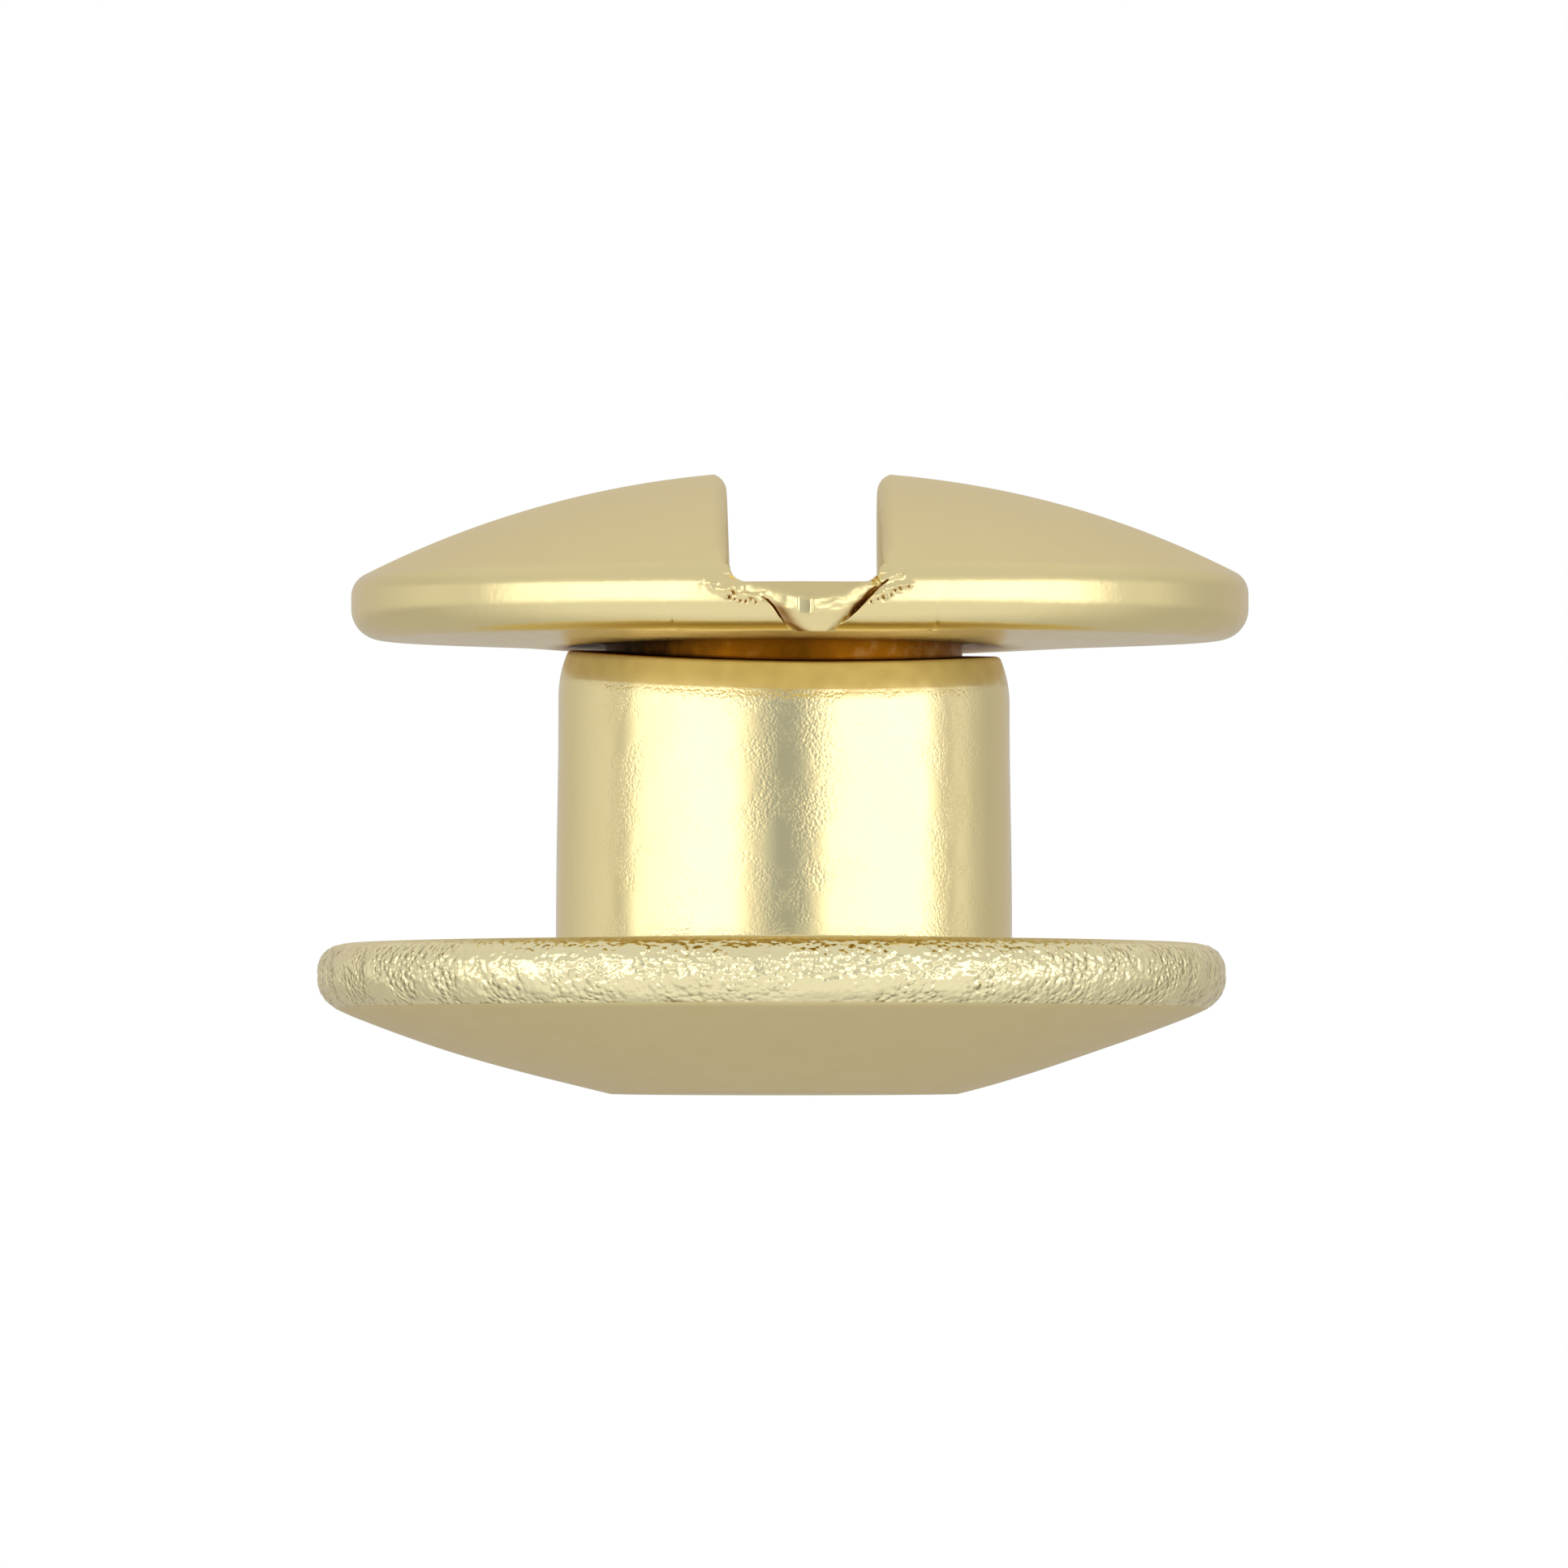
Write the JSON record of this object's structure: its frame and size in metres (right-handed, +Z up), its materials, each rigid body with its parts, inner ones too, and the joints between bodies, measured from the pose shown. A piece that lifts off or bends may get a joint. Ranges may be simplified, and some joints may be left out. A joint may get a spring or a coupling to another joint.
{
  "type": "binding barrel screw",
  "caption": "Binding barrel screw: a smooth tapped barrel on a low domed head, closed by a slotted domed screw that clamps straps, pages or panels.",
  "frame": {"origin": "where the barrel's axis meets the small flat under the lower head", "axes": "+Z up the barrel's axis, from the flat to the slotted head; the driver slot runs along Y and its folded lip is at the -Y end"},
  "size_m": [0.0103, 0.01, 0.0068],
  "materials": {
    "nut_brass": "plated, smooth barrel, satin dome with a rough tumbled rim",
    "screw_brass": "plated, satin dome with a bright smooth rim"
  },
  "bodies": {
    "barrel": {"barrel_nut": "nut_brass"},
    "screw": {"slotted_screw": "screw_brass"}
  },
  "joints": [
    {"name": "screw_lift", "type": "slide", "parent": "barrel", "child": "screw", "axis": [0, 0, 1], "range_m": [0, 0.0084]}
  ]
}
